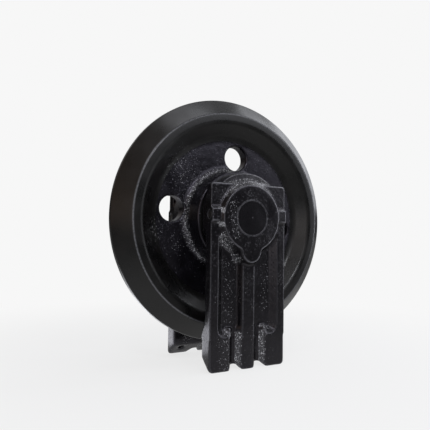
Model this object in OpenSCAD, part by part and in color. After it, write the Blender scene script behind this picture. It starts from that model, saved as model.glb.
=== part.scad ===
// Front idler of a tracked excavator. A V-rimmed idler wheel turns on a fixed shaft between two
// forged guide brackets, and floating face seals keep its oil in.
// Millimetres. +Z is up, the wheel axis lies along Y, and the brackets stand on Z = 0.

/* [Wheel] */
// Diameter over the crest of the rim
wheel_d = 350; // [336:1:380]
// Width of the flat on the crest
crest_w = 8; // [4:0.5:14]
// Diameter where the sloping flank meets the side face of the rim
side_face_d = 304; // [296:1:316]
// Width of the rim over its side faces
rim_w = 48.6; // [42:0.2:58]
// Small bevel at the outer edge of the side face
rim_edge = 1.8; // [0.4:0.2:3]
// Diameter of the inner edge of the side face, where the recess starts
recess_d = 276; // [264:1:286]
// Radius of the cast fillet between rim and web
rim_fillet = 14; // [8:0.5:15]
// Draft of the recess wall in degrees
rim_draft = 25; // [15:1:35]
// Thickness of the web
web_t = 18; // [12:0.5:24]
// Diameter of the hub at its ends
hub_d = 132; // [124:1:140]
// Length of the hub
hub_l = 80; // [74:1:90]
// Radius of the cast fillet between hub and web
hub_fillet = 10; // [5:0.5:14]
// Draft of the hub's outside in degrees
hub_draft = 6; // [2:0.5:10]
// Bevel at the ends of the hub
hub_edge = 3; // [1:0.5:5]
// Diameter of the holes through the web
hole_d = 36; // [24:1:40]
// Diameter of the circle that the web holes lie on
hole_pcd = 182; // [174:1:190]
// Number of web holes
hole_count = 4; // [3:1:6]
// Angle of the first web hole above +X in degrees, with the wheel at rest
hole_phase = 82; // [0:1:90]
// Bevel of the web holes' lips
hole_lip = 3; // [1:0.5:4]

/* [Shaft] */
// Diameter of the shaft
shaft_d = 48; // [42:1:50]
// Bevel at the ends of the shaft
shaft_edge = 1.2; // [0.4:0.2:2]
// Mouth of the turning centres in the shaft's ends
centre_d = 5; // [3:0.5:8]
// Diameter of the oil gallery
gallery_d = 6; // [4:0.5:7]
// Distance of the oil gallery below the shaft's axis
gallery_drop = 13; // [12:0.5:14]

/* [Bracket] */
// Distance over the outer faces of the two brackets
frame_w = 130; // [126:1:144]
// Width of a bracket
bracket_w = 120; // [114:1:130]
// Height of the wheel axis above the bracket's lower end
axis_h = 203; // [196:1:230]
// Height of the bracket's shoulders above the axis
shoulder_h = 46.5; // [40:0.5:50]
// Thickness of the leg beside the wheel
leg_t = 13.5; // [13:0.5:18]
// Radius of the bracket's outline corners
corner_r = 4; // [1:0.5:8]
// Diameter of the round bulge at the head and of the seal collar inside
bulge_d = 124.4; // [118:0.2:130]
// Distance from the outer face back to the bulge's outer edge
bulge_set = 5.5; // [3:0.5:8]
// Radius of the blends that sweep from the shoulders up to the bulge
wing_r = 24; // [12:1:30]
// Diameter of the pear-shaped boss at its face
boss_d = 89; // [84:0.5:96]
// Height of the boss over the outer face
boss_h = 8; // [5:0.5:12]
// Draft of the boss wall in degrees
boss_draft = 25; // [10:1:30]
// Radius of the boss's tail
tail_r = 14.5; // [11:0.5:17]
// Distance from the axis down to the tip of the tail
tail_l = 60; // [56:0.5:66]
// Radius of the hollow between boss and tail
tail_hollow = 12; // [10:0.5:16]
// Width of the cross-pin bands beside the boss at their top
band_w = 16; // [13:0.5:20]
// Height of the cross-pin bands over the outer face
band_h = 4; // [2.5:0.5:6]
// Width of the slope on each side of a cross-pin band
band_flank = 2.5; // [1:0.5:4]
// Width of the guide rib
rib_w = 18.6; // [14:0.2:22]
// Width of the strip left along each side of the leg
strip_w = 12.5; // [9:0.5:16]
// Depth of the pockets and guide grooves
pocket_depth = 9; // [6:0.5:10]
// Width of the slope from the rib down to the floor
rib_flank = 5; // [2:0.5:7]
// Width of the slope from the strip down to the floor
strip_flank = 9; // [4:0.5:10]
// Distance from the axis down to the top of the pockets
pocket_top = 22; // [18:0.5:30]
// Height of the pockets' round ends above the bracket's lower end
pocket_end_h = 44.5; // [36:0.5:60]
// Radius of the pockets' round ends at the outer face
pocket_end_r = 11.5; // [10:0.5:13]
// Width of each guide groove beside the rib
groove_w = 20; // [16:0.5:24]
// Width of the slope on each side of a guide groove
groove_flank = 7; // [3:0.5:7.5]
// Radius of the edges along the guide grooves
groove_edge = 3; // [1:0.5:4]
// Thickness of the leg's end
end_t = 22.5; // [20:0.5:26]
// Distance from the axis down to where the inner face starts to thicken
flare_start = 129; // [122:1:134]
// Length over which the inner face thickens
flare_l = 31; // [22:1:36]
// Width of the flat land at the bracket's lower end
end_land = 2.5; // [2:0.5:8]
// Height of the slope under the bracket's lower end
end_rise = 17; // [12:0.5:19]

/* [Yoke bolts] */
// Tapping diameter of the yoke bolt holes
yoke_hole_d = 8.5; // [6.8:0.1:10.2]
// Depth of the yoke bolt holes
yoke_hole_l = 12; // [8:0.5:14]
// Distance from the slope's upper edge down to the yoke bolt holes
yoke_set = 10; // [8:0.5:14]
// Distance between the two yoke bolt holes of a bracket
yoke_pitch = 88; // [80:1:94]

/* [Lock pins] */
// Diameter of the cross pins that lock the shaft in the brackets
pin_d = 10; // [8:0.5:11]
// Height of the pins above the shaft's axis
pin_rise = 3.5; // [2:0.5:6]
// Distance from the outer face in to the pin's centre
pin_set = 4.5; // [3.5:0.1:5]
// Depth of the pin's ends below the bracket's sides
pin_sink = 1; // [0.5:0.5:6]
// Bevel at the pin's ends
pin_edge = 1; // [0.4:0.2:2]
// Least metal between a pin and the seal housing behind it, and over the pin in its band
pin_wall = 1.5; // [1:0.1:2]

/* [Bushes] */
// Wall of the flanged bushes
bush_wall = 4; // [3:0.5:5]
// Width of the bush flange beyond the wall
flange_w = 5; // [3:0.5:7]
// Thickness of the bush flange
flange_t = 4; // [3:0.5:6]
// Length of the oil chamber between the bushes
chamber_l = 8; // [4:0.5:16]
// Depth of the oil chamber beyond the bush seat
chamber_relief = 2; // [1:0.5:4]
// Thickness of the thrust washers
thrust_t = 2; // [1.5:0.1:3]

/* [Seals] */
// Depth of the seal housings in hub and bracket
seal_depth = 12; // [11.5:0.1:13]
// Gap between the hub's end and the bracket's collar
collar_gap = 1.5; // [1:0.1:2]
// Wall of the bracket's spigot inside the seal
spigot_wall = 5.5; // [4:0.5:7]
// Gap between the spigot and the seal rings
ring_gap = 1.5; // [0.8:0.1:2.5]
// Wall of a seal ring's body
ring_wall = 8; // [6:0.5:9]
// Length of a seal ring
ring_l = 10; // [8:0.5:10.5]
// Thickness of a seal ring's face flange
ring_face_t = 4; // [3:0.1:4.2]
// Width of the face flange beyond the ring's body
ring_face_w = 6; // [4:0.5:7]
// Diameter of the toric rubber rings' section
toric_d = 7.8; // [7:0.1:8]
// Distance from the outer face in to the shaft's O-ring groove
o_ring_set = 21; // [18:0.5:24]
// Diameter of the O-rings' section
o_ring_d = 2.7; // [2:0.1:3.5]

/* [Oil plug] */
// Diameter of the plug's thread
plug_d = 10; // [8:0.5:10]
// Length of the plug's thread
plug_l = 10; // [6:0.5:14]
// Diameter of the plug's head
plug_head_d = 15; // [13:0.5:15.5]
// Height of the plug's head
plug_head_h = 4; // [3:0.5:5]
// Width across flats of the plug's socket
plug_socket_w = 6; // [4:0.5:8]
// Thickness of the plug's sealing washer
plug_washer_t = 1.2; // [0.8:0.1:2]
// Depth of the plug's head below the end of the shaft
plug_sink = 1.5; // [0.5:0.5:3]

/* [Clearances] */
// Gap around pieces that are pressed or screwed in
press_gap = 0.02; // [0.01:0.01:0.05]
// Radial gap between the shaft and the bushes and brackets
run_gap = 0.05; // [0.02:0.01:0.09]
// Gap between seals, washers and their seats
seat_gap = 0.15; // [0.1:0.05:0.3]
// Oil film between the lapped faces of the seal rings
film_gap = 0.1; // [0.05:0.05:0.2]

/* [Hidden] */
// Facets of small and large round shapes
$fn = 96;
wheel_facets = 180;
head_facets = 120;
socket_sides = 6;

// Cutters reach this far past the faces they open
over = 1;
// Round blends dip this far into the faces they run out on
blend_dip = 0.15;
// Straight pieces in the soft S of the leg
arc_steps = 8;

// Distances along the axis are counted outwards from the middle of the wheel
face_s = frame_w / 2;
boss_s = face_s + boss_h;
inner_s = face_s - leg_t;
hub_s = hub_l / 2;
collar_s = hub_s + collar_gap;
seal_s = hub_s + collar_gap / 2;
hub_floor_s = hub_s - seal_depth;
collar_floor_s = collar_s + seal_depth;
flange_s = hub_floor_s - flange_t;
thrust_s = hub_floor_s + seat_gap;
spigot_s = thrust_s + thrust_t + seat_gap;
pin_s = max(face_s - pin_set, collar_floor_s + pin_wall + pin_d / 2);
band_s = max(face_s + band_h, pin_s + pin_d / 2 + pin_wall);
o_ring_s = face_s - o_ring_set;

// Radii about the axis
shaft_r = shaft_d / 2;
bush_r = shaft_r + bush_wall;
flange_r = bush_r + flange_w;
spigot_r = shaft_r + spigot_wall;
ring_r = spigot_r + ring_gap;
ring_body_r = ring_r + ring_wall;
toric_r = ring_body_r + seat_gap + toric_d / 2;
housing_r = toric_r + toric_d / 2 + seat_gap;
bulge_r = bulge_d / 2;
boss_r = boss_d / 2;
o_ring_r = shaft_r - o_ring_d / 2;
o_groove_r = shaft_r - o_ring_d - 2 * seat_gap;
o_groove_w = o_ring_d + 2 * seat_gap;
bracket_bore_r = shaft_r + run_gap;

// Leg and end of the bracket
leg_x = bracket_w / 2;
rib_x = rib_w / 2;
pocket_x = leg_x - strip_w;
floor_s = face_s - pocket_depth;
pocket_end_x = pocket_x - pocket_end_r;
pocket_end_y = -axis_h + pocket_end_h + pocket_end_r;
seat_in = [face_s - end_t, end_rise - axis_h];
seat_out = [face_s - end_land, -axis_h];
seat_tilt = atan2(seat_in.y - seat_out.y, seat_out.x - seat_in.x);
yoke_at = seat_in + yoke_set * [cos(seat_tilt), -sin(seat_tilt)];
wall_growth = tan(boss_draft);

// Oil plug, counted inwards from the far end of the shaft
plug_head_s = boss_s - plug_sink - plug_head_h;
plug_seat_s = plug_head_s - plug_washer_t - 2 * press_gap;
plug_recess_r = plug_head_d / 2 + seat_gap;

PAINT = "#1d1d1f";
STEEL = "#8c8f94";
BRONZE = "#a9814a";
RUBBER = "#26262a";
COPPER = "#b4703c";

function flipped(points) =
  [for (i = [len(points) - 1:-1:0]) [points[i].x, -points[i].y]];

// Local axes on the wheel axis: X across, Y up, Z outwards on the near side
module on_axis() {
  translate([0, 0, axis_h]) rotate([90, 0, 0]) children();
}
module far_side() {
  mirror([0, 1, 0]) children();
}
// A profile drawn across the leg as [x, s] and run down from one height to another
module along_leg(top, bottom) {
  translate([0, top, 0]) rotate([90, 0, 0]) linear_extrude(top - bottom) children();
}
module tube(outer, inner, from, to) {
  difference() {
    translate([0, 0, from]) cylinder(r = outer, h = to - from);
    translate([0, 0, from - over]) cylinder(r = inner, h = to - from + 2 * over);
  }
}
module ring_of_section(radius, section_d, s) {
  translate([0, 0, s]) rotate_extrude() translate([radius, 0]) circle(d = section_d);
}

// Half of the wheel's section as [radius, s], from the crest inwards to the bush seat. It runs through
// the centres of the two cast fillets, which are then cut round
rim_s = rim_w / 2;
web_s = web_t / 2;
rim_arc_top = web_s + rim_fillet * (1 - sin(rim_draft));
rim_arc_r = recess_d / 2 - rim_fillet * cos(rim_draft) - (rim_s - rim_arc_top) * tan(rim_draft);
hub_arc_top = web_s + hub_fillet * (1 - sin(hub_draft));
hub_arc_r = hub_d / 2 + (hub_s - hub_arc_top) * tan(hub_draft) + hub_fillet * cos(hub_draft);
rim_centre = [rim_arc_r, web_s + rim_fillet];
hub_centre = [hub_arc_r, web_s + hub_fillet];
wheel_half = concat(
  [[wheel_d / 2, crest_w / 2], [side_face_d / 2 + rim_edge, rim_s - rim_edge],
   [side_face_d / 2 - rim_edge, rim_s], [recess_d / 2, rim_s]],
  [rim_centre + rim_fillet * [cos(rim_draft), -sin(rim_draft)], rim_centre, [rim_arc_r, web_s]],
  [[hub_arc_r, web_s], hub_centre, hub_centre - hub_fillet * [cos(hub_draft), sin(hub_draft)]],
  [[hub_d / 2 + hub_edge * tan(hub_draft), hub_s - hub_edge], [hub_d / 2 - hub_edge, hub_s],
   [housing_r, hub_s], [housing_r, hub_floor_s], [flange_r + press_gap, hub_floor_s],
   [flange_r + press_gap, flange_s - press_gap], [bush_r + press_gap, flange_s - press_gap],
   [bush_r + press_gap, chamber_l / 2], [bush_r + chamber_relief, chamber_l / 2]]);

module wheel_section() {
  difference() {
    polygon(concat(wheel_half, flipped(wheel_half)));
    for (side = [0, 1]) mirror([0, side]) {
      translate(rim_centre) circle(r = rim_fillet);
      translate(hub_centre) circle(r = hub_fillet);
    }
  }
}

// Cutter for a web hole, with a bevelled lip that clears the foot of the hub
module web_hole() {
  lip_r = hole_d / 2 + hole_lip + over;
  cylinder(d = hole_d, h = hub_l, center = true);
  for (side = [0, 1]) mirror([0, 0, side]) {
    translate([0, 0, web_s - hole_lip]) cylinder(r1 = hole_d / 2, r2 = lip_r, h = hole_lip + over);
    translate([0, 0, web_s + over]) cylinder(r = lip_r, h = hub_s - web_s);
  }
}

module idler_wheel() {
  color(PAINT) on_axis() difference() {
    rotate_extrude($fn = wheel_facets) wheel_section();
    for (i = [0:hole_count - 1])
      rotate(hole_phase + i * 360 / hole_count) translate([hole_pcd / 2, 0, 0]) web_hole();
  }
}

module hub_bush() {
  color(BRONZE) on_axis() difference() {
    union() {
      translate([0, 0, chamber_l / 2]) cylinder(r = bush_r, h = hub_floor_s - chamber_l / 2);
      translate([0, 0, flange_s]) cylinder(r = flange_r, h = flange_t);
    }
    cylinder(r = shaft_r + run_gap, h = hub_s);
  }
}

module idler_shaft() {
  color(STEEL) on_axis() difference() {
    union() {
      translate([0, 0, shaft_edge - boss_s]) cylinder(r = shaft_r, h = 2 * (boss_s - shaft_edge));
      for (side = [0, 1]) mirror([0, 0, side]) translate([0, 0, boss_s - shaft_edge])
        cylinder(r1 = shaft_r, r2 = shaft_r - shaft_edge, h = shaft_edge);
    }
    for (side = [0, 1]) mirror([0, 0, side]) {
      translate([0, 0, boss_s - centre_d / 2]) cylinder(d1 = 0, d2 = centre_d, h = centre_d / 2);
      tube(shaft_r + over, o_groove_r, o_ring_s - o_groove_w / 2, o_ring_s + o_groove_w / 2);
      translate([0, pin_rise, pin_s]) rotate([0, 90, 0])
        cylinder(d = pin_d + 2 * press_gap, h = 2 * shaft_d, center = true);
    }
    translate([0, -gallery_drop, 0]) {
      translate([0, 0, -boss_s]) cylinder(d = gallery_d, h = boss_s + gallery_d / 2);
      rotate([90, 0, 0]) cylinder(d = gallery_d, h = shaft_r);
      mirror([0, 0, 1]) {
        translate([0, 0, plug_head_s - plug_l - over])
          cylinder(r = plug_d / 2 + press_gap, h = plug_l + 2 * over);
        translate([0, 0, plug_seat_s]) cylinder(r = plug_recess_r, h = boss_s - plug_seat_s + over);
      }
    }
  }
}

// Side outline of the leg as [s, height over the axis]; its inner face thickens in a soft S
leg_side = concat(
  [[face_s, -axis_h], [face_s, shoulder_h], [inner_s, shoulder_h]],
  [for (i = [0:arc_steps]) let (part = i / arc_steps)
    [inner_s + (seat_in.x - inner_s) * (1 - cos(180 * part)) / 2, -flare_start - flare_l * part]],
  [seat_in, seat_out]);

module leg_outline() {
  for (inset = [[0, corner_r], [corner_r, 0]])
    translate([inset.x - leg_x, inset.y - axis_h])
      square([bracket_w - 2 * inset.x, axis_h + shoulder_h - 2 * inset.y]);
  for (x = [-1, 1], y = [corner_r - axis_h, shoulder_h - corner_r])
    translate([x * (leg_x - corner_r), y]) circle(r = corner_r);
}

module leg() {
  intersection() {
    rotate([0, -90, 0]) linear_extrude(bracket_w, center = true) polygon(leg_side);
    linear_extrude(boss_s) leg_outline();
  }
}

// Section of a guide groove as [x, s]. It runs through the centres of its round edges, which are then
// cut round
module groove_section() {
  slope = atan2(groove_flank, pocket_depth);
  edge_l = groove_edge * (1 - sin(slope)) / cos(slope);
  edge_s = face_s - groove_edge;
  half = groove_w / 2;
  touch = [half - edge_l * sin(slope), face_s - edge_l * cos(slope)];
  groove_half = [
    [half + edge_l, face_s + over], [half + edge_l, edge_s], touch, [half - groove_flank, floor_s]];
  translate([rib_x + half, 0]) difference() {
    polygon(concat(groove_half,
      [for (i = [len(groove_half) - 1:-1:0]) [-groove_half[i].x, groove_half[i].y]]));
    for (side = [-1, 1]) translate([side * (half + edge_l), edge_s])
      circle(r = groove_edge + blend_dip);
  }
}

// Pocket between rib and strip, with its round end and the guide groove below it
module pocket() {
  open = over / pocket_depth;
  along_leg(-pocket_top, pocket_end_y) polygon([
    [rib_x + rib_flank, floor_s], [pocket_x - strip_flank, floor_s],
    [pocket_x + open * strip_flank, face_s + over], [rib_x - open * rib_flank, face_s + over]]);
  translate([pocket_end_x, pocket_end_y, floor_s])
    cylinder(r1 = pocket_end_r - strip_flank, r2 = pocket_end_r + open * strip_flank,
      h = pocket_depth + over);
  along_leg(pocket_end_y + pocket_end_r, -axis_h - over) groove_section();
}

// Outline of the bulge, with the blends that sweep up to it from the shoulders
module bulge_outline() {
  reach = bulge_r + wing_r - blend_dip;
  wing_y = shoulder_h + wing_r - blend_dip;
  wing = [sqrt(pow(reach, 2) - pow(wing_y, 2)), wing_y];
  root_y = shoulder_h - over;
  circle(r = bulge_r, $fn = head_facets);
  for (side = [0, 1]) mirror([side, 0]) difference() {
    polygon([[0, root_y], [wing.x, root_y], wing, wing * (bulge_r - over) / reach]);
    translate(wing) circle(r = wing_r);
  }
}

// Head of the bracket: bulge with its sloping front, and the boss wall up to its face
module head() {
  foot_r = boss_r + boss_h * wall_growth;
  corner = norm([leg_x, shoulder_h]);
  corner_s = face_s - bulge_set * (corner - foot_r) / (bulge_r - foot_r);
  intersection() {
    rotate_extrude($fn = head_facets) polygon([
      [0, collar_s], [corner, collar_s], [corner, corner_s], [foot_r, face_s],
      [boss_r, boss_s], [0, boss_s]]);
    translate([0, 0, inner_s]) linear_extrude(boss_s) bulge_outline();
    linear_extrude(boss_s + over) square([bracket_w, 2 * bulge_d], center = true);
  }
}

// Collar round the seal, between the head and the hub
module seal_collar() {
  intersection() {
    translate([0, 0, collar_s]) cylinder(r = bulge_r, h = inner_s - collar_s, $fn = head_facets);
    linear_extrude(boss_s) square([bracket_w, 2 * bulge_d], center = true);
  }
}

// Tail of the pear-shaped boss, with a hollow blend to the round boss on each side
module boss_tail() {
  rise = boss_s - floor_s;
  growth = rise * wall_growth;
  tail_y = tail_r - tail_l;
  reach = boss_r + tail_hollow - over;
  hollow = [tail_r + tail_hollow, -sqrt(pow(reach, 2) - pow(tail_r + tail_hollow, 2))];
  translate([0, tail_y, floor_s]) cylinder(r1 = tail_r + growth, r2 = tail_r, h = rise);
  along_leg(0, tail_y) polygon([
    [-tail_r - growth, floor_s], [tail_r + growth, floor_s], [tail_r, boss_s], [-tail_r, boss_s]]);
  for (side = [0, 1]) mirror([side, 0, 0]) difference() {
    translate([0, 0, floor_s]) linear_extrude(rise)
      polygon([[0, 0], hollow * boss_r / (boss_r + tail_hollow), hollow, [0, hollow.y]]);
    translate([hollow.x, hollow.y, floor_s])
      cylinder(r1 = tail_hollow - growth, r2 = tail_hollow + over * wall_growth, h = rise + over);
  }
}

// Low band that thickens the head over the cross pin
module pin_band() {
  translate([-leg_x, pin_rise, 0]) rotate([90, 0, 90]) linear_extrude(bracket_w) polygon([
    [-band_w / 2 - band_flank, face_s], [-band_w / 2, band_s],
    [band_w / 2, band_s], [band_w / 2 + band_flank, face_s],
    [band_w / 2 + band_flank, inner_s], [-band_w / 2 - band_flank, inner_s]]);
}

module bracket() {
  color(PAINT) on_axis() difference() {
    union() {
      difference() {
        union() {
          difference() {
            leg();
            for (side = [0, 1]) mirror([side, 0, 0]) pocket();
          }
          head();
          seal_collar();
          boss_tail();
          pin_band();
        }
        translate([0, 0, collar_s - over]) cylinder(r = housing_r, h = seal_depth + over);
      }
      translate([0, 0, spigot_s]) cylinder(r = spigot_r, h = collar_floor_s - spigot_s + over);
    }
    cylinder(r = bracket_bore_r, h = boss_s + over);
    translate([0, pin_rise, pin_s]) rotate([0, 90, 0])
      cylinder(d = pin_d + 2 * press_gap, h = bracket_w + 2 * over, center = true);
    for (x = [-1, 1]) translate([x * yoke_pitch / 2, yoke_at.y, yoke_at.x])
      rotate([seat_tilt - 90, 0, 0]) translate([0, 0, -over])
        cylinder(d = yoke_hole_d, h = yoke_hole_l + over);
  }
}

// Seal ring with its lapped face at the seal plane; the wheel's ring points inwards
module seal_ring() {
  tube(ring_body_r, ring_r, film_gap / 2, ring_l);
  tube(ring_body_r + ring_face_w, ring_r, film_gap / 2, ring_face_t);
}
module toric_ring() {
  ring_of_section(toric_r, toric_d, ring_face_t + seat_gap + toric_d / 2);
}
module at_seal(turned) {
  on_axis() translate([0, 0, seal_s]) mirror([0, 0, turned]) children();
}
module seal_ring_wheel() {
  color(STEEL) at_seal(1) seal_ring();
}
module seal_ring_bracket() {
  color(STEEL) at_seal(0) seal_ring();
}
module toric_ring_wheel() {
  color(RUBBER) at_seal(1) toric_ring();
}
module toric_ring_bracket() {
  color(RUBBER) at_seal(0) toric_ring();
}

module thrust_washer() {
  color(BRONZE) on_axis() tube(spigot_r, shaft_r + seat_gap, thrust_s, thrust_s + thrust_t);
}

module shaft_o_ring() {
  color(RUBBER) on_axis() ring_of_section(o_ring_r, o_ring_d, o_ring_s);
}

module lock_pin() {
  half = leg_x - pin_sink;
  color(STEEL) on_axis() translate([0, pin_rise, pin_s]) rotate([0, 90, 0]) {
    cylinder(d = pin_d, h = 2 * (half - pin_edge), center = true);
    for (side = [0, 1]) mirror([0, 0, side]) translate([0, 0, half - pin_edge])
      cylinder(d1 = pin_d, d2 = pin_d - 2 * pin_edge, h = pin_edge);
  }
}

module at_plug() {
  on_axis() mirror([0, 0, 1]) translate([0, -gallery_drop, 0]) children();
}
module oil_plug() {
  color(STEEL) at_plug() difference() {
    union() {
      translate([0, 0, plug_head_s - plug_l]) cylinder(d = plug_d, h = plug_l);
      translate([0, 0, plug_head_s]) cylinder(d = plug_head_d, h = plug_head_h);
    }
    translate([0, 0, plug_head_s])
      cylinder(d = plug_socket_w / cos(180 / socket_sides), h = plug_head_h + over, $fn = socket_sides);
  }
}
module oil_plug_washer() {
  top = plug_head_s - press_gap;
  color(COPPER) at_plug() tube(plug_head_d / 2, plug_d / 2 + press_gap, top - plug_washer_t, top);
}

idler_wheel();
hub_bush();  // hub_bush_near
far_side() hub_bush();  // hub_bush_far
idler_shaft();
bracket();  // bracket_near
far_side() bracket();  // bracket_far
seal_ring_wheel();  // seal_ring_wheel_near
far_side() seal_ring_wheel();  // seal_ring_wheel_far
seal_ring_bracket();  // seal_ring_bracket_near
far_side() seal_ring_bracket();  // seal_ring_bracket_far
toric_ring_wheel();  // toric_ring_wheel_near
far_side() toric_ring_wheel();  // toric_ring_wheel_far
toric_ring_bracket();  // toric_ring_bracket_near
far_side() toric_ring_bracket();  // toric_ring_bracket_far
thrust_washer();  // thrust_washer_near
far_side() thrust_washer();  // thrust_washer_far
shaft_o_ring();  // shaft_o_ring_near
far_side() shaft_o_ring();  // shaft_o_ring_far
lock_pin();  // lock_pin_near
far_side() lock_pin();  // lock_pin_far
oil_plug();
oil_plug_washer();
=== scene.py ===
"""Looks of an excavator's front idler: a painted cast wheel between two forged brackets."""
import math

import bmesh
import bpy
from mathutils import Matrix, Vector, noise


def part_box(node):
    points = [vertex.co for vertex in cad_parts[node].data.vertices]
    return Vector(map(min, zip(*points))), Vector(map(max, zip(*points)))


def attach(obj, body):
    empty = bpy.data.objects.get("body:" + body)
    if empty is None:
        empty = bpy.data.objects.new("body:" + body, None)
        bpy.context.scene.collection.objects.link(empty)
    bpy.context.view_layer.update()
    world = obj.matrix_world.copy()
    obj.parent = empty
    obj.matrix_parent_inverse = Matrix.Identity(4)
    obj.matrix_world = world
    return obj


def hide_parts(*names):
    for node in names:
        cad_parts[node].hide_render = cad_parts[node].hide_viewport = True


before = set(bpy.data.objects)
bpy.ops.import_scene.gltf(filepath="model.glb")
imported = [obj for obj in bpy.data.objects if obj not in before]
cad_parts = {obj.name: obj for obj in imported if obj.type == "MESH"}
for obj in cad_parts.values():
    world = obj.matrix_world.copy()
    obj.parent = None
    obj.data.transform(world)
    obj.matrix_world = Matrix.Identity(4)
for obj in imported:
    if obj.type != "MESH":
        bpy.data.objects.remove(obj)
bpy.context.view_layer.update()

# Lengths are written in millimetres, but those of the studio and its lamps are in metres
MM = 0.001
wheel_low, wheel_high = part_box("idler_wheel")
AXIS = (wheel_low + wheel_high) / 2
ACROSS = Vector((0, 1, 0))
# Faces that meet at more than this angle keep a sharp edge
SHARP = math.radians(38)
# Points this close are one point: in a spun shape, and in a copy of a solid
SPIN_MERGE = 0.01
SOLID_MERGE = 0.005
SMOOTH_FACTOR = 0.5
# Shares of wear, pale dust and painted highlight that the finishes read from a piece's points
WORN_EDGE_AND_HIGHLIGHT = "worn_edge_and_painted_highlight"
DUST_AND_HIGHLIGHT = "dust_and_painted_highlight"


# Small tools

def clamp(value, least=0.0, most=1.0):
    """The value, kept between a least and a most."""
    return min(most, max(least, value))


def linear(code):
    """An sRGB hex colour as the linear colour that a shader takes."""
    parts = [int(code[i:i + 2], 16) / 255 for i in (1, 3, 5)]
    return (*(c / 12.92 if c <= 0.04045 else ((c + 0.055) / 1.055) ** 2.4 for c in parts), 1)


def per_mm(size):
    """The scale of a texture whose features are this many millimetres across."""
    return 1 / (size * MM)


def feed(tree, node, inputs):
    """Links or sets a node's inputs."""
    for socket, value in inputs.items():
        if isinstance(value, bpy.types.NodeSocket):
            tree.links.new(value, node.inputs[socket])
        else:
            node.inputs[socket].default_value = value


def add(tree, kind, inputs, output=0, **settings):
    """Adds one node with its settings and inputs, and gives one of its outputs."""
    made = tree.nodes.new(kind)
    for name, value in settings.items():
        setattr(made, name, value)
    feed(tree, made, inputs)
    return made.outputs[output]


def new_material(name):
    """An empty material: its tree, its shader and its object coordinates."""
    made = bpy.data.materials.new(name)
    made.use_nodes = True
    tree = made.node_tree
    place = add(tree, "ShaderNodeTexCoord", {}, "Object")
    return made, tree, tree.nodes["Principled BSDF"], place


def piece_of(name, bm):
    """A new piece from a bmesh, smooth but for its sharp edges."""
    for edge in bm.edges:
        edge.smooth = edge.calc_face_angle(0) < SHARP
    for face in bm.faces:
        face.smooth = True
    mesh = bpy.data.meshes.new(name)
    bm.to_mesh(mesh)
    bm.free()
    made = bpy.data.objects.new(name, mesh)
    bpy.context.scene.collection.objects.link(made)
    return made


def finished(piece):
    """The piece's mesh with its modifiers worked in, as a bmesh; the piece itself goes."""
    graph = bpy.context.evaluated_depsgraph_get()
    mesh = bpy.data.meshes.new_from_object(piece.evaluated_get(graph))
    bm = bmesh.new()
    bm.from_mesh(mesh)
    bpy.data.objects.remove(piece)
    bpy.data.meshes.remove(mesh)
    return bm


def cut_away(blank, cutters):
    """The blank with the cutters' shape taken out of it, as a bmesh; both pieces go."""
    cut = blank.modifiers.new("cut_away", "BOOLEAN")
    cut.operation = "DIFFERENCE"
    cut.solver = "EXACT"
    cut.object = cutters
    bm = finished(blank)
    bpy.data.objects.remove(cutters)
    return bm


def verts_in(geometry):
    """The points among a shape's points, edges and faces."""
    return [part for part in geometry if isinstance(part, bmesh.types.BMVert)]


def smooth(bm, verts, rounds):
    """Moves points towards the middle of their neighbours, a number of times."""
    for _ in range(rounds):
        bmesh.ops.smooth_vert(bm, verts=verts, factor=SMOOTH_FACTOR,
                              use_axis_x=True, use_axis_y=True, use_axis_z=True)


def add_skin(bm, layers, has_skin):
    """Gives the points that have a raw skin its unevenness: sizes and heights of soft lumps."""
    for vert in bm.verts:
        if has_skin(vert.co):
            rise = sum(noise.noise(vert.co / (size * MM)) * height for size, height in layers)
            vert.co += vert.normal * rise * MM


def from_axis(point):
    """Distance from the wheel's axis in millimetres."""
    return math.hypot(point.x - AXIS.x, point.z - AXIS.z) / MM


# Wheel

# Half of the wheel's outline: radius, distance out from its middle, and how far each corner is rounded
WHEEL_OUTLINE = [
    (175.0, 4.0, 1.6), (155.0, 21.65, 0),  # crest and flank of the rim
    (152.0, 24.3, 1.8), (149.4, 24.3, 0), (139.0, 24.3, 4.0),  # face of the rim
    (119.0, 9.0, 6.5), (69.26, 9.0, 9.0),  # web
    (66.0, 40.0, 2.5), (47.1, 40.0, 0.8),  # hub
    (47.1, 28.0, 0), (33.02, 28.0, 0), (33.02, 24.0, 0),  # seal housing
    (28.02, 24.0, 0), (28.02, 4.0, 0), (30.0, 4.0, 0)]  # bush seat and the oil groove in the middle
WHEEL_STEPS = 288
CORNER_STEPS = 7
# The web, how far apart its points lie, and its holes with the plugs that cut them
WEB_SIDE = 9.0
WEB_STEP = 2.6
HOLE_RADIUS = 18.0
HOLE_LIP = 3.2
HOLE_CIRCLE = 91.0
HOLE_ANGLES = (82, 172, 262, 352)
HOLE_STEPS = 72
PLUG_SHOULDER = WEB_SIDE + 0.15
PLUG_REACH = 30.0
# The raw skin lies between these radii, with lumps of these sizes and heights
CAST_FROM = 62.5
CAST_TO = 113.5
CAST_LUMPS = ((9.0, 0.11), (3.6, 0.06))
# Rim edge with painted wear and highlight, hub hollow with dust and painted highlight: radius, distance out
RIM_EDGE = (151.4, 23.6)
RIM_EDGE_REACH = 1.5
HUB_HOLLOW = (72.0, 13.0)
HUB_HOLLOW_REACH = 6.5
# Patches of the web with pale dust and speckled painted highlight: angle, radius, reach and share
WEB_PATCHES = ((137, 100, 36, 0.22), (190, 121, 24, 0.28), (205, 92, 24, 0.1))


def is_cast(point):
    """Whether a place on the wheel has the casting's raw skin."""
    return CAST_FROM < from_axis(point) < CAST_TO


def wheel_turn(angle, radius):
    """How far a place on the wheel lies from its middle."""
    turn = math.radians(angle)
    return Vector((math.cos(turn), 0, math.sin(turn))) * radius * MM


def mirrored(corners):
    """The corners of the far half of an outline, in the order that goes on from the near half."""
    return [(radius, -out, rounding) for radius, out, rounding in reversed(corners)]


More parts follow.
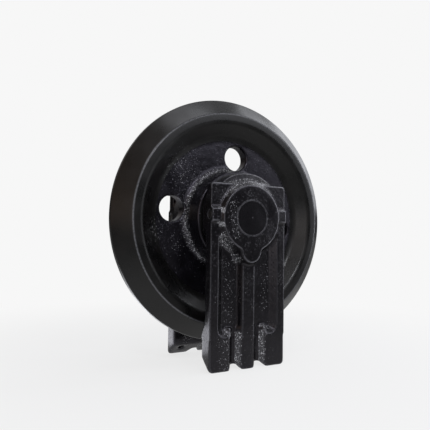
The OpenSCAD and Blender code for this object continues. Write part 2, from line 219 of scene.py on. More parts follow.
def rounded_outline(bm, corners, closed):
    """A wire through the corners, each rounded by its own amount."""
    verts = [bm.verts.new(AXIS + Vector((radius, -out, 0)) * MM) for radius, out, _ in corners]
    for pair in zip(verts, verts[1:] + verts[:1] if closed else verts[1:]):
        bm.edges.new(pair)
    for vert, (_, _, rounding) in zip(verts, corners):
        if rounding:
            bmesh.ops.bevel(bm, geom=[vert], offset=rounding * MM, offset_type="OFFSET",
                            segments=CORNER_STEPS, profile=0.5, affect="VERTICES", material=-1)


def spin_closed(bm, steps):
    """Spins the wire a full turn about the axis, and closes the shape."""
    bmesh.ops.spin(bm, geom=bm.verts[:] + bm.edges[:], cent=AXIS, axis=ACROSS, dvec=(0, 0, 0),
                   angle=math.tau, steps=steps, use_merge=True)
    bmesh.ops.remove_doubles(bm, verts=bm.verts, dist=SPIN_MERGE * MM)
    bmesh.ops.recalc_face_normals(bm, faces=bm.faces)


def hole_cutters():
    """Plugs for the web holes, with the rounded lips that the casting has."""
    bm = bmesh.new()
    lip = HOLE_RADIUS + HOLE_LIP
    half = [(0, PLUG_REACH, 0), (lip, PLUG_REACH, 0), (lip, PLUG_SHOULDER, 0),
            (HOLE_RADIUS, PLUG_SHOULDER, HOLE_LIP)]
    rounded_outline(bm, half + [(HOLE_RADIUS, 0, 0)] + mirrored(half), closed=False)
    spin_closed(bm, HOLE_STEPS)
    plug = bm.verts[:] + bm.edges[:] + bm.faces[:]
    plugs = [plug] + [bmesh.ops.duplicate(bm, geom=plug)["geom"] for _ in HOLE_ANGLES[1:]]
    for geometry, angle in zip(plugs, HOLE_ANGLES):
        bmesh.ops.translate(bm, verts=verts_in(geometry), vec=wheel_turn(angle, HOLE_CIRCLE))
    return piece_of("hole_plugs", bm)


def wheel_wear_and_highlights(bm):
    """Marks the rim's edge with wear and painted highlight, and the hub and web with dust and painted
    highlight.
    """
    worn_edge_and_highlight = bm.verts.layers.float.new(WORN_EDGE_AND_HIGHLIGHT)
    dust_and_highlight = bm.verts.layers.float.new(DUST_AND_HIGHLIGHT)
    near_side = Vector((0, -WEB_SIDE, 0)) * MM
    patches = [(AXIS + wheel_turn(angle, radius) + near_side, reach, share)
               for angle, radius, reach, share in WEB_PATCHES]
    for vert in bm.verts:
        place = (from_axis(vert.co), abs(vert.co.y - AXIS.y) / MM)
        # The rim's edge gets a grey line, painted as wear and as a highlight
        vert[worn_edge_and_highlight] = clamp(1 - math.dist(place, RIM_EDGE) / RIM_EDGE_REACH)
        # Pale dust and speckled painted highlight round the hub and in patches of the web
        shares = [share * clamp(1 - (vert.co - middle).length / (reach * MM))
                  for middle, reach, share in patches]
        vert[dust_and_highlight] = max(clamp(1 - math.dist(place, HUB_HOLLOW) / HUB_HOLLOW_REACH), *shares)


def painted_wheel():
    """The wheel as one casting: turned rim, cast web with four lipped holes, cast hub."""
    bm = bmesh.new()
    rounded_outline(bm, WHEEL_OUTLINE + mirrored(WHEEL_OUTLINE), closed=True)
    for edge in bm.edges[:]:
        cuts = int(edge.calc_length() / (WEB_STEP * MM))
        if cuts and all(is_cast(vert.co) for vert in edge.verts):
            bmesh.ops.subdivide_edges(bm, edges=[edge], cuts=cuts)
    spin_closed(bm, WHEEL_STEPS)
    bm = cut_away(piece_of("wheel_blank", bm), hole_cutters())
    bm.normal_update()
    add_skin(bm, CAST_LUMPS, is_cast)
    for face in bm.faces:
        face.material_index = int(is_cast(face.calc_center_median()))
    wheel_wear_and_highlights(bm)
    return piece_of("painted_wheel", bm)


# Brackets

def trail(start, end, reach, share):
    """A trail of pale dust and painted highlight between two places: its start, its run, its reach and its
    share.
    """
    return Vector(start), Vector(end) - Vector(start), reach, share


# A forging's skin: the cells of its mesh, the rounds that soften its edges, its lumps' sizes and heights
FORGED_VOXEL = 1.3
FORGED_ROUNDS = 7
FORGED_LUMPS = ((14.0, 0.12), (4.2, 0.07))
# The bore inside this radius is machined and has no raw skin
BORE_RADIUS = 27.0
# Places below are across the bracket, up from the axis and out from the middle of the wheel
# The pear-shaped boss with its tail and the necks between them, from inside the solid up to its face
BOSS_OUT = 73.0
BOSS_TOP = BOSS_OUT - 0.2
BOSS_FOOT = 55.0
BOSS_RADIUS = 44.5
BOSS_STEPS = 72
BOSS_DRAFT = math.tan(math.radians(25))
TAIL_RADIUS = 14.5
TAIL_UP = -45.5
TAIL_STEPS = 24
NECK_RADIUS = 12.0
NECK_AT = (26.5, -48.76)
NECK_STEPS = 10
# The rounded top of the head, and how far up from the axis its slope starts
HEAD_RADIUS = 55.5
HEAD_OUT = 57.0
HEAD_SLOPE_FOOT = 34.0
HEAD_STEPS = 36
# The upper ends of the pockets: across and out
POCKET_SECTION = ((14.3, 56.0), (38.5, 56.0), (48.5, 66.0), (8.7, 66.0))
POCKET_TOP = -26.0
POCKET_FOOT = -80.0
# The pads at the leg's end are rounder than the rest
PADS_TOP = -160.0
PAD_ROUNDS = 14
# An edge gets painted wear and highlight where smoothing takes this much off it, more highlight facing right
EDGE_TEST_ROUNDS = 2
EDGE_MARK_START = 0.035
EDGE_MARK_SPAN = 0.07
HIGHLIGHT_LEVEL = 0.85
HIGHLIGHT_TO_RIGHT = 1.1
HIGHLIGHT_LEAST = 0.2
# The ring where the shaft's end meets the boss, painted lighter in the edges' grey
JOINT_RADIUS = 24.0
JOINT_REACH = 1.4
JOINT_DEPTH = 1.0
JOINT_SHARE = 0.3
# A face that looks along the axis by more than this share is a flat one
FLAT_FACE = 0.93
# Dust and painted highlight are whole along the middle of a trail and fade towards its reach, this steeply
TRAIL_FADE = 1.6
SLOPE_DUST_AND_HIGHLIGHT = (
    trail((-44, -26), (-19, -58), 8, 0.85), trail((27, -35), (30, -31), 3, 0.9),  # beside the tail
    trail((-33, -152), (-24, -156), 5, 0.9), trail((19, -143), (33, -149), 6, 0.9),  # pockets' ends
    trail((-13.5, -156), (-13.5, -205), 5, 1.0), trail((25, -156), (25, -205), 5, 1.0),  # grooves
    trail((-49, 9.2), (-40, 9.2), 5, 1.6), trail((-49, -9.2), (-40, -9.2), 5, 1.6),  # guide rib
    trail((-40, 34), (-21, 47), 9, 0.7), trail((-21, 47), (0, 52), 9, 0.6),  # slope of the head
    trail((0, 52), (21, 47), 9, 0.6), trail((21, 47), (40, 34), 9, 0.7))
FACE_DUST_AND_HIGHLIGHT = (
    trail((-29, 18), (-26, -24), 9, 0.25),  # boss
    trail((-26, -62), (-26, -138), 12, 0.12), trail((33, -70), (33, -122), 8, 0.15),  # pockets
    trail((-36, -165), (-36, -205), 13, 0.3))  # left pad


def bracket_point(x, up, out, side):
    """A place on a bracket, on the near side (-1) or the far side (1), as a point of the scene."""
    return AXIS + Vector((x, side * out, up)) * MM


def arc(centre, radius, start, end, steps):
    """Points along an arc between two angles in degrees."""
    angles = [math.radians(start + (end - start) * i / steps) for i in range(steps + 1)]
    return [(centre[0] + radius * math.cos(a), centre[1] + radius * math.sin(a)) for a in angles]


def pear_outline(out):
    """Outline of the pear-shaped boss at a distance out, wider towards its foot."""
    grown = (BOSS_OUT - out) * BOSS_DRAFT
    x, up = NECK_AT
    lean = math.degrees(math.atan2(-up, x))
    dip = math.degrees(math.asin((TAIL_UP - up) / (TAIL_RADIUS + grown)))
    neck = NECK_RADIUS - grown
    return (arc((0, 0), BOSS_RADIUS + grown, -lean, 180 + lean, BOSS_STEPS)
            + arc((-x, up), neck, lean, 0, NECK_STEPS)
            + arc((0, TAIL_UP), TAIL_RADIUS + grown, 180 + dip, 360 - dip, TAIL_STEPS)
            + arc((x, up), neck, 180, 180 - lean, NECK_STEPS))


def head_outline(radius):
    """The upper part of a circle about the axis, above the foot of the head's slope."""
    reach = math.degrees(math.asin(HEAD_SLOPE_FOOT / radius))
    return arc((0, 0), radius, reach, 180 - reach, HEAD_STEPS)


def add_block(bm, side, ends):
    """A block between two outlines, each at its own distance out."""
    edges = []
    for outline, out in ends:
        end = bm.faces.new([bm.verts.new(bracket_point(x, up, out, side)) for x, up in outline])
        edges += end.edges
    bmesh.ops.bridge_loops(bm, edges=edges)


def pocket_cutters(side):
    """The upper ends of both pockets, up to the boss."""
    bm = bmesh.new()
    for hand in (-1, 1):
        corners = [bracket_point(hand * x, POCKET_TOP, out, side) for x, out in POCKET_SECTION]
        end = bm.faces.new([bm.verts.new(corner) for corner in corners])
        foot = verts_in(bmesh.ops.extrude_face_region(bm, geom=[end])["geom"])
        bmesh.ops.translate(bm, verts=foot, vec=(0, 0, (POCKET_FOOT - POCKET_TOP) * MM))
    bmesh.ops.recalc_face_normals(bm, faces=bm.faces)
    return piece_of("pocket_cutters", bm)


def smoothing_moves(bm):
    """How far smoothing would move each point outwards: above 0 in hollows, below 0 on edges."""
    bm.normal_update()
    before = [(vert.co.copy(), vert.normal.copy()) for vert in bm.verts]
    smooth(bm, bm.verts, EDGE_TEST_ROUNDS)
    moves = [(vert.co - place).dot(normal) / MM for vert, (place, normal) in zip(bm.verts, before)]
    for vert, (place, _) in zip(bm.verts, before):
        vert.co = place
    return moves


def dust_and_highlight_at(place, trails):
    """Share of dust and painted highlight at a place on a bracket, most along the middle of a trail."""
    found = 0.0
    for start, run, reach, share in trails:
        along = clamp((place - start).dot(run) / run.length_squared)
        away = (place - start - run * along).length
        found = max(found, share * clamp(TRAIL_FADE * (1 - away / reach)))
    return found


def bracket_wear_and_highlights(bm, side):
    """Marks a bracket's worn and highlighted edges, its ring round the shaft's end, and its dust and painted
    highlight.
    """
    worn_edge_and_highlight = bm.verts.layers.float.new(WORN_EDGE_AND_HIGHLIGHT)
    dust_and_highlight = bm.verts.layers.float.new(DUST_AND_HIGHLIGHT)
    moves = smoothing_moves(bm)
    bm.normal_update()
    for vert, move in zip(bm.verts, moves):
        place = (vert.co - AXIS) / MM
        # Painted highlight: edges that face right, towards the light, get more of the grey
        highlight_side = clamp(HIGHLIGHT_LEVEL + HIGHLIGHT_TO_RIGHT * vert.normal.x, HIGHLIGHT_LEAST)
        vert[worn_edge_and_highlight] = highlight_side * clamp((-move - EDGE_MARK_START) / EDGE_MARK_SPAN)
        # The ring round the shaft's end is painted lighter, in the edges' grey
        on_face = side * place.y > BOSS_OUT - JOINT_DEPTH
        if on_face and abs(from_axis(vert.co) - JOINT_RADIUS) < JOINT_REACH:
            vert[worn_edge_and_highlight] = JOINT_SHARE
        # Pale dust and painted highlight along the trails
        trails = FACE_DUST_AND_HIGHLIGHT if abs(vert.normal.y) > FLAT_FACE else SLOPE_DUST_AND_HIGHLIGHT
        vert[dust_and_highlight] = dust_and_highlight_at(place.xz, trails)


def forged_bracket(node, name, side):
    """The bracket's solid with open pocket tops, a forging's soft edges and an uneven skin."""
    bm = bmesh.new()
    bm.from_mesh(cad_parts[node].data)
    bmesh.ops.remove_doubles(bm, verts=bm.verts, dist=SOLID_MERGE * MM)
    bm = cut_away(piece_of(name + "_blank", bm), pocket_cutters(side))
    add_block(bm, side, [(pear_outline(out), out) for out in (BOSS_FOOT, BOSS_TOP)])
    add_block(bm, side, ((head_outline(BOSS_RADIUS), BOSS_TOP), (head_outline(HEAD_RADIUS), HEAD_OUT)))
    bmesh.ops.recalc_face_normals(bm, faces=bm.faces)
    blank = piece_of(name + "_blank", bm)
    even = blank.modifiers.new("even_mesh", "REMESH")
    even.mode = "VOXEL"
    even.voxel_size = FORGED_VOXEL * MM
    soften = blank.modifiers.new("soft_edges", "SMOOTH")
    soften.factor = SMOOTH_FACTOR
    soften.iterations = FORGED_ROUNDS
    bm = finished(blank)
    smooth(bm, [vert for vert in bm.verts if vert.co.z - AXIS.z < PADS_TOP * MM], PAD_ROUNDS)
    bracket_wear_and_highlights(bm, side)
    add_skin(bm, FORGED_LUMPS, lambda point: from_axis(point) > BORE_RADIUS)
    return piece_of(name, bm)


# Finishes

# Pale tone of paint dust and painted glints and highlights; grey of worn edges and painted edge highlights
PALE_DUST_AND_HIGHLIGHT = "#efeff2"
BARE_EDGE_AND_HIGHLIGHT = "#6c6c70"
ENAMEL_IOR = 1.45
# Enamel's clouds of thicker and thinner film, and which part of them turns its tint and its sheen
MOTTLE_SIZE = 28.0
MOTTLE_DETAIL = 3.0
TINT_CLOUDS = (0.38, 0.72)
SHEEN_CLOUDS = (0.3, 0.7)
# Pips of the skin under the film: which clouds have most, the share in the rest, and a pip's width
PIP_CLOUDS = (0.4, 0.6)
PIP_LEAST = 0.2
PIP_WIDTH = 0.6
# Pale grains, painted as paint dust and as glints, are a fraction of a millimetre and drawn coarser, so that
# they show. Their density and cover follow the dust and painted highlight there, and a few strays, painted
# glints, lie elsewhere
GRAIN_SIZE = 1.3
GRAIN_EDGE = (0.3, 0.55)
GRAIN_DENSITY = 0.72
GRAIN_SPREAD = 0.6
GRAIN_UNEVENNESS = 1.7
STRAY_CLOUDS = (0.45, 0.65)
STRAY_COVER = 0.12
FULL_COVER_DUST_AND_HIGHLIGHT = 0.8
# Pale mist between the grains, painted as dust and as a haze of highlight
MIST_COVER = 0.06
MIST_POWER = 2.0
# Grey edges, painted as wear and as highlight, are broken up by specks of paint, which are drawn coarser
# than they are, so that they show
SPECK_SIZE = 2.4
SPECK_CLOUDS = (0.2, 0.5)
# Clouds and cut depth of a turned surface
TURNED_MOTTLE_SIZE = 9.0
TURNED_DEPTH = 0.02


def raw_skin(tree, place, mottle, lump, pip, pip_share):
    """The normals of a raw skin under paint: soft lumps with small round pips on them."""
    lump_size, lump_height = lump
    pip_size, pip_height = pip
    waves = add(tree, "ShaderNodeTexNoise", {"Vector": place, "Scale": per_mm(lump_size), "Detail": 1.0})
    under = add(tree, "ShaderNodeBump", {"Height": waves, "Distance": lump_height * MM})
    cell = add(tree, "ShaderNodeTexVoronoi", {"Vector": place, "Scale": per_mm(pip_size)})
    draw = add(tree, "ShaderNodeSeparateColor", {"Color": cell.node.outputs["Color"]}, "Red")
    share = add(tree, "ShaderNodeMapRange", {
        "Value": mottle, "From Min": PIP_CLOUDS[0], "From Max": PIP_CLOUDS[1],
        "To Min": PIP_LEAST * pip_share, "To Max": pip_share})
    raised = add(tree, "ShaderNodeMath", {0: draw, 1: share}, operation="LESS_THAN")
    dome = add(tree, "ShaderNodeMapRange", {
        "Value": cell, "From Max": PIP_WIDTH, "To Min": 1.0, "To Max": 0.0}, interpolation_type="SMOOTHSTEP")
    pips = add(tree, "ShaderNodeMath", {0: dome, 1: raised}, operation="MULTIPLY")
    return add(tree, "ShaderNodeBump", {"Height": pips, "Distance": pip_height * MM, "Normal": under})


def dust_and_glint_grains(tree, place, mottle, dust_and_highlight, stray_share):
    """How much of the film the pale grains cover, painted as paint dust and as glints."""
    cell = add(tree, "ShaderNodeTexVoronoi", {"Vector": place, "Scale": per_mm(GRAIN_SIZE)})
    draw = add(tree, "ShaderNodeSeparateColor", {"Color": cell.node.outputs["Color"]}, "Red")
    strays = add(tree, "ShaderNodeMapRange", {
        "Value": mottle, "From Min": STRAY_CLOUDS[0], "From Max": STRAY_CLOUDS[1], "To Max": stray_share})
    spread = add(tree, "ShaderNodeMath", {0: dust_and_highlight, 1: GRAIN_SPREAD}, operation="POWER")
    often = add(tree, "ShaderNodeMath", {0: spread, 1: GRAIN_DENSITY, 2: strays}, operation="MULTIPLY_ADD")
    cover = add(tree, "ShaderNodeMath", {0: draw, 1: often}, operation="LESS_THAN")
    spot = add(tree, "ShaderNodeMapRange", {
        "Value": cell, "From Min": GRAIN_EDGE[0], "From Max": GRAIN_EDGE[1], "To Min": 1.0, "To Max": 0.0})
    strength = add(tree, "ShaderNodeMath", {0: draw.node.outputs["Green"], 1: GRAIN_UNEVENNESS},
                   operation="POWER")
    grain_share = add(tree, "ShaderNodeMapRange", {
        "Value": dust_and_highlight, "From Max": FULL_COVER_DUST_AND_HIGHLIGHT, "To Min": STRAY_COVER, "To Max": 1.0})
    for part in (spot, strength, grain_share):
        cover = add(tree, "ShaderNodeMath", {0: cover, 1: part}, operation="MULTIPLY")
    return cover


def enamel(name, film, gloss_tint, roughness, lump, pip, pip_share, stray_share):
    """Black enamel sprayed on steel: a dark satin film that follows the skin under it, with pale dust and
    painted highlight in its hollows and on its slopes, and grey edges painted as wear and as highlight."""
    made, tree, shader, place = new_material(name)
    mottle = add(tree, "ShaderNodeTexNoise", {
        "Vector": place, "Scale": per_mm(MOTTLE_SIZE), "Detail": MOTTLE_DETAIL})
    cloud = add(tree, "ShaderNodeMapRange", {
        "Value": mottle, "From Min": TINT_CLOUDS[0], "From Max": TINT_CLOUDS[1]})
    sheen = add(tree, "ShaderNodeMapRange", {
        "Value": mottle, "From Min": SHEEN_CLOUDS[0], "From Max": SHEEN_CLOUDS[1],
        "To Min": roughness[0], "To Max": roughness[1]})
    dust_and_highlight = add(tree, "ShaderNodeAttribute", {}, "Fac", attribute_name=DUST_AND_HIGHLIGHT)
    worn_edge_and_highlight = add(tree, "ShaderNodeAttribute", {}, "Fac", attribute_name=WORN_EDGE_AND_HIGHLIGHT)
    grains = dust_and_glint_grains(tree, place, mottle, dust_and_highlight, stray_share)
    mist_share = add(tree, "ShaderNodeMath", {0: dust_and_highlight, 1: MIST_POWER}, operation="POWER")
    mist = add(tree, "ShaderNodeMath", {0: mist_share, 1: MIST_COVER}, operation="MULTIPLY")
    specks = add(tree, "ShaderNodeTexNoise", {"Vector": place, "Scale": per_mm(SPECK_SIZE), "Detail": 1.0})
    broken = add(tree, "ShaderNodeMapRange", {
        "Value": specks, "From Min": SPECK_CLOUDS[0], "From Max": SPECK_CLOUDS[1]})
    bare_and_highlight = add(tree, "ShaderNodeMath", {0: worn_edge_and_highlight, 1: broken}, operation="MULTIPLY")
    # Over the film: pale mist and grains painted as dust and as glints, and grey edges painted as wear and
    # highlight
    colour = linear(film[0])
    for cover, tone in ((cloud, film[1]), (mist, PALE_DUST_AND_HIGHLIGHT), (grains, PALE_DUST_AND_HIGHLIGHT), (bare_and_highlight, BARE_EDGE_AND_HIGHLIGHT)):
        colour = add(tree, "ShaderNodeMix", {"Factor": cover, "A": colour, "B": linear(tone)}, "Result",
                     data_type="RGBA")
    feed(tree, shader, {
        "Base Color": colour, "Roughness": sheen, "IOR": ENAMEL_IOR, "Specular Tint": linear(gloss_tint),
        "Normal": raw_skin(tree, place, mottle, lump, pip, pip_share)})
    return made


def turned(name, tones, roughness, metallic, line):
    """A surface with fine rings about the axis, from a lathe or a turned mould, that stretch the
    highlight. The rings are closer on the real pieces and are drawn coarser, so that they show."""
    made, tree, shader, place = new_material(name)
    shifted = add(tree, "ShaderNodeVectorMath", {0: place, 1: AXIS}, operation="SUBTRACT")
    flat = add(tree, "ShaderNodeVectorMath", {0: shifted, 1: (1, 0, 1)}, operation="MULTIPLY")
    radius = add(tree, "ShaderNodeVectorMath", {0: flat}, "Value", operation="LENGTH")
    rings = add(tree, "ShaderNodeTexNoise", {"W": radius, "Scale": per_mm(line), "Detail": 2.0},
                noise_dimensions="1D")
    mottle = add(tree, "ShaderNodeTexNoise", {
        "Vector": place, "Scale": per_mm(TURNED_MOTTLE_SIZE), "Detail": MOTTLE_DETAIL})
    tint = add(tree, "ShaderNodeMix", {"Factor": mottle, "A": linear(tones[0]), "B": linear(tones[1])},
               "Result", data_type="RGBA")
    sheen = add(tree, "ShaderNodeMapRange", {"Value": rings, "To Min": roughness[0], "To Max": roughness[1]})
    cut = add(tree, "ShaderNodeBump", {"Height": rings, "Distance": TURNED_DEPTH * MM})
    feed(tree, shader, {"Base Color": tint, "Roughness": sheen, "Normal": cut, "Metallic": metallic})
    return made


# A smooth satin black: long soft streaks of light along the turned rim
RIM_ENAMEL = enamel(
    "black_enamel_on_turned_steel", ("#080808", "#100e0e"), "#fafafa", (0.24, 0.34),
    lump=(9.0, 0.04), pip=(3.0, 0.02), pip_share=0.1, stray_share=0)
# A glossier black with a faint violet gleam, uneven and sparkling: the film runs over sand-cast lumps and
# pips, which are drawn coarser than they are, so that they show, and pale grains add painted glints
CAST_ENAMEL = enamel(
    "black_enamel_on_sand_cast_steel", ("#0b0a0d", "#121115"), "#ebe6f8", (0.2, 0.28),
    lump=(9.0, 0.13), pip=(2.2, 0.28), pip_share=0.45, stray_share=0.06)
# The same gloss on a pimpled forging: its broken scale, drawn coarser too, makes small lights; its edges are
# painted grey as wear and as highlight, and pale dust and painted highlight lie in its hollows and on its
# slopes
FORGED_ENAMEL = enamel(
    "black_enamel_on_forged_steel", ("#080709", "#0f0e10"), "#efebf6", (0.2, 0.28),
    lump=(9.0, 0.12), pip=(2.2, 0.3), pip_share=0.5, stray_share=0.08)
# The smoothest black: an even gloss over a ground end
SHAFT_ENAMEL = enamel(
    "black_enamel_on_ground_steel", ("#080709", "#0e0d0f"), "#f3f0fa", (0.18, 0.26),
    lump=(6.0, 0.03), pip=(3.0, 0.02), pip_share=0.1, stray_share=0)
# Warm yellow-brown metal with a soft ringed sheen
BRONZE = turned("turned_bearing_bronze", ("#9b7440", "#b98f55"), (0.25, 0.4), 1.0, 0.6)
# Bright grey metal, close to a mirror
SEAL_IRON = turned("lapped_chromium_iron", ("#8d9094", "#a5a7aa"), (0.15, 0.25), 1.0, 0.5)
# Dull near-black with a wide weak highlight
RUBBER = turned("moulded_nitrile_rubber", ("#1a1a1c", "#242426"), (0.55, 0.7), 0.0, 1.0)
# Dark grey metal, from which the phosphate takes the shine
PIN_STEEL = turned("phosphated_pin_steel", ("#4a4a4b", "#5f5e5c"), (0.4, 0.55), 1.0, 0.8)
# Pale silvery metal with a soft shine
PLUG_STEEL = turned("zinc_plated_steel", ("#a9abab", "#c0c0ba"), (0.25, 0.4), 1.0, 0.8)
# Red-brown metal with a soft shine
COPPER = turned("annealed_copper", ("#a9643a", "#c0794c"), (0.3, 0.45), 1.0, 0.7)

# Pieces on their bodies

wheel = painted_wheel()
for finish in (RIM_ENAMEL, CAST_ENAMEL):
    wheel.data.materials.append(finish)
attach(wheel, "wheel")
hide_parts("idler_wheel")

for side, outwards in (("near", -1), ("far", 1)):
    bracket = forged_bracket("bracket_" + side, "forged_bracket_" + side, outwards)
    bracket.data.materials.append(FORGED_ENAMEL)
    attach(bracket, "frame")
    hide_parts("bracket_" + side)

# How the names of the other solids start, with their finish and slot; the first that fits holds
SOLID_FINISHES = {
    "idler_shaft": (SHAFT_ENAMEL, "shaft_paint"), "hub_bush": (BRONZE, "bush_bronze"),
    "thrust_washer": (BRONZE, "bush_bronze"), "seal_ring": (SEAL_IRON, "seal_steel"),
    "toric_ring": (RUBBER, "seal_rubber"), "shaft_o_ring": (RUBBER, "seal_rubber"),
    "lock_pin": (PIN_STEEL, "pin_steel"), "oil_plug_washer": (COPPER, "washer_copper"),
    "oil_plug": (PLUG_STEEL, "pin_steel")}
for name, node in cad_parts.items():
    for start, (finish, slot) in SOLID_FINISHES.items():
        if name.startswith(start):
            node.data.materials.clear()
            node.data.materials.append(finish)
            break

# Studio

PALE = "#f7f7f7"
MIRRORED = ("Is Glossy Ray", "Is Transmission Ray")
# Paper floor: where the object's shadow fades out and how much plain pale tone lies over it, and how
# bright the paper looks in the gloss by the object and away from it
FLOOR_HALF = 6.0
PAPER = "#e9e9e9"
PAPER_ROUGHNESS = 0.9
SHADOW_FADE = (0.15, 0.75)
PALE_BY_OBJECT = 0.8
GLOSS_FADE = (0.15, 0.7)
GLOSS_LEVELS = (0.66, 0.24)
# Backdrop: its light on the object, and in the gloss a bright side, a dim rest and an even ceiling
WORLD_TINT = "#f2f3f5"
WORLD_LEVEL = 0.4
BRIGHT_SIDE = (-0.92, -0.39, 0.0)
SIDE_FADE = (0.2, 0.9)
SIDE_LEVELS = (0.03, 1.15)
CEILING_FADE = (0.08, 0.5)
CEILING_LEVEL = 0.55
WARM_FADE = (-0.9, 0.2)
WARM_TINTS = ("#c9b3a2", "#f2f4f7")
# Lamps: name, place, size, how bright it looks and, where it isn't the wheel, what it faces
LAMP_TINT = "#f6f8ff"
LAMPS = (
    ("softbox_above", (0.0, -0.24, 1.58), (0.7, 0.5), 2.4),
    ("softbox_right_high", (0.94, 0.0, 1.24), (0.7, 0.5), 2.6),
    ("softbox_right_behind", (1.25, 0.5, 0.7), (0.6, 0.8), 1.3),
    ("softbox_front_right", (1.05, -0.88, 0.45), (0.5, 0.7), 1.3),
    ("softbox_front_above", (0.66, -1.0, 0.84), (0.8, 0.6), 1.7),
    ("softbox_left", (-0.9, -1.1, 0.3), (0.9, 0.6), 0.8),
    ("strip_right", (1.3, -0.25, 0.45), (0.12, 0.9), 7.0),
    ("key_left", (-0.57, -0.82, 1.04), (0.16, 0.16), 28.0),
    ("key_front", (0.0, -1.15, 0.75), (0.16, 0.16), 24.0),
    ("panel_below", (-0.2, 0.15, 0.004), (0.24, 0.24), 2.8, (-0.2, 0.15, 1.0)))


def ray_is(tree, *kinds):
    """1 for rays of these kinds."""
    found = 0.0
    for kind in kinds:
        ray = add(tree, "ShaderNodeLightPath", {}, kind)
        found = add(tree, "ShaderNodeMath", {0: found, 1: ray}, operation="MAXIMUM")
    return found


def studio_floor():
    """White paper, matt and even, that is pale to the eye and keeps the object's shadow close to it."""
    bm = bmesh.new()
    bmesh.ops.create_grid(bm, x_segments=1, y_segments=1, size=FLOOR_HALF)
    floor = piece_of("studio_floor", bm)
    made, tree, shader, place = new_material("matt_white_paper")
    feed(tree, shader, {"Base Color": linear(PAPER), "Roughness": PAPER_ROUGHNESS})
    away = add(tree, "ShaderNodeVectorMath", {0: place}, "Value", operation="LENGTH")
    share = add(tree, "ShaderNodeMapRange", {
        "Value": away, "From Min": SHADOW_FADE[0], "From Max": SHADOW_FADE[1],
        "To Min": PALE_BY_OBJECT, "To Max": 1.0}, interpolation_type="SMOOTHSTEP")
    seen = ray_is(tree, "Is Camera Ray")
    straight = add(tree, "ShaderNodeMath", {0: seen, 1: share}, operation="MULTIPLY")
    partly = add(tree, "ShaderNodeMath", {0: ray_is(tree, *MIRRORED), 1: straight}, operation="MAXIMUM")
    dim = add(tree, "ShaderNodeMapRange", {
        "Value": away, "From Min": GLOSS_FADE[0], "From Max": GLOSS_FADE[1],
        "To Min": GLOSS_LEVELS[0], "To Max": GLOSS_LEVELS[1]}, interpolation_type="SMOOTHSTEP")
    bright = add(tree, "ShaderNodeMath", {0: seen, 1: dim}, operation="MAXIMUM")
    flat = add(tree, "ShaderNodeEmission", {"Color": linear(PALE), "Strength": bright})
    mixed = add(tree, "ShaderNodeMixShader", {0: partly, 1: shader.outputs["BSDF"], 2: flat})
    feed(tree, tree.nodes["Material Output"], {"Surface": mixed})
    floor.data.materials.append(made)


def studio_world():
    """A pale backdrop to the eye; in the gloss it has a bright side and is dim along the rest."""
    world = bpy.data.worlds.new("studio")
    world.use_nodes = True
    tree = world.node_tree
    place = add(tree, "ShaderNodeTexCoord", {}, "Generated")
    facing = add(tree, "ShaderNodeVectorMath", {0: place, 1: BRIGHT_SIDE}, "Value", operation="DOT_PRODUCT")
    level = add(tree, "ShaderNodeMapRange", {
        "Value": facing, "From Min": SIDE_FADE[0], "From Max": SIDE_FADE[1],
        "To Min": SIDE_LEVELS[0], "To Max": SIDE_LEVELS[1]}, interpolation_type="SMOOTHSTEP")
    height = add(tree, "ShaderNodeSeparateXYZ", {"Vector": place}, "Z")
    overhead = add(tree, "ShaderNodeMapRange", {
        "Value": height, "From Min": CEILING_FADE[0], "From Max": CEILING_FADE[1],
        "To Min": level, "To Max": CEILING_LEVEL}, interpolation_type="SMOOTHSTEP")
    cool = add(tree, "ShaderNodeMapRange", {
        "Value": height.node.outputs["X"], "From Min": WARM_FADE[0], "From Max": WARM_FADE[1]})
    tint = add(tree, "ShaderNodeMix", {
        "Factor": cool, "A": linear(WARM_TINTS[0]), "B": linear(WARM_TINTS[1])}, "Result", data_type="RGBA")
    lit = add(tree, "ShaderNodeBackground", {"Color": linear(WORLD_TINT), "Strength": WORLD_LEVEL})
    graded = add(tree, "ShaderNodeBackground", {"Color": tint, "Strength": overhead})
    flat = add(tree, "ShaderNodeBackground", {"Color": linear(PALE), "Strength": 1.0})
    gloss = add(tree, "ShaderNodeMixShader", {0: ray_is(tree, *MIRRORED), 1: lit, 2: graded})
    mixed = add(tree, "ShaderNodeMixShader", {0: ray_is(tree, "Is Camera Ray"), 1: gloss, 2: flat})
    feed(tree, tree.nodes["World Output"], {"Surface": mixed})
    bpy.context.scene.world = world


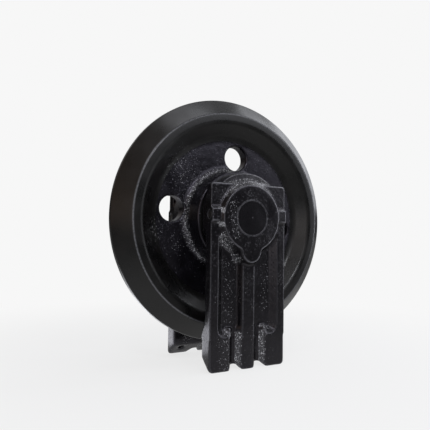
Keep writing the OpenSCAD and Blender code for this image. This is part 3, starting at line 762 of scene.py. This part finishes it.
def studio_lamp(name, place, size, radiance, aim=AXIS):
    """An area lamp; its power follows from its area and how bright it looks."""
    lamp = bpy.data.lights.new(name, "AREA")
    lamp.shape = "RECTANGLE"
    lamp.size, lamp.size_y = size
    lamp.color = linear(LAMP_TINT)[:3]
    lamp.energy = radiance * math.pi * lamp.size * lamp.size_y
    made = bpy.data.objects.new(name, lamp)
    made.location = place
    made.rotation_mode = "QUATERNION"
    made.rotation_quaternion = (Vector(aim) - Vector(place)).to_track_quat("-Z", "Y")
    made.visible_camera = False
    bpy.context.scene.collection.objects.link(made)


studio_floor()
studio_world()
for lamp_row in LAMPS:
    studio_lamp(*lamp_row)

# Camera at the photograph's view

CAMERA_PLACE = Vector((-378.95, -632.64, 174.89)) * MM
CAMERA_AZIMUTH = math.radians(-29.79)
CAMERA_ELEVATION = math.radians(-2.68)
CAMERA_ROLL = math.radians(0.69)
FOCAL_PIXELS = 500
IMAGE_PIXELS = 430
SENSOR_WIDTH = 36.0
NEAREST_SEEN = 10.0
FARTHEST_SEEN = 50000.0


def photo_camera():
    """The camera, which looks along its azimuth and elevation and leans by its roll."""
    flat = math.cos(CAMERA_ELEVATION)
    back = Vector((math.sin(CAMERA_AZIMUTH) * flat, -math.cos(CAMERA_AZIMUTH) * flat,
                   math.sin(CAMERA_ELEVATION)))
    level = Vector((0, 0, 1)).cross(back).normalized()
    rise = back.cross(level)
    right = level * math.cos(CAMERA_ROLL) + rise * math.sin(CAMERA_ROLL)
    up = rise * math.cos(CAMERA_ROLL) - level * math.sin(CAMERA_ROLL)
    lens = bpy.data.cameras.new("camera")
    lens.sensor_width = SENSOR_WIDTH
    lens.lens = FOCAL_PIXELS * SENSOR_WIDTH / IMAGE_PIXELS
    lens.clip_start = NEAREST_SEEN * MM
    lens.clip_end = FARTHEST_SEEN * MM
    made = bpy.data.objects.new("camera", lens)
    made.matrix_world = Matrix.Translation(CAMERA_PLACE) @ Matrix((right, up, back)).transposed().to_4x4()
    bpy.context.scene.collection.objects.link(made)
    bpy.context.scene.camera = made


photo_camera()
bpy.context.scene.view_settings.view_transform = "Standard"
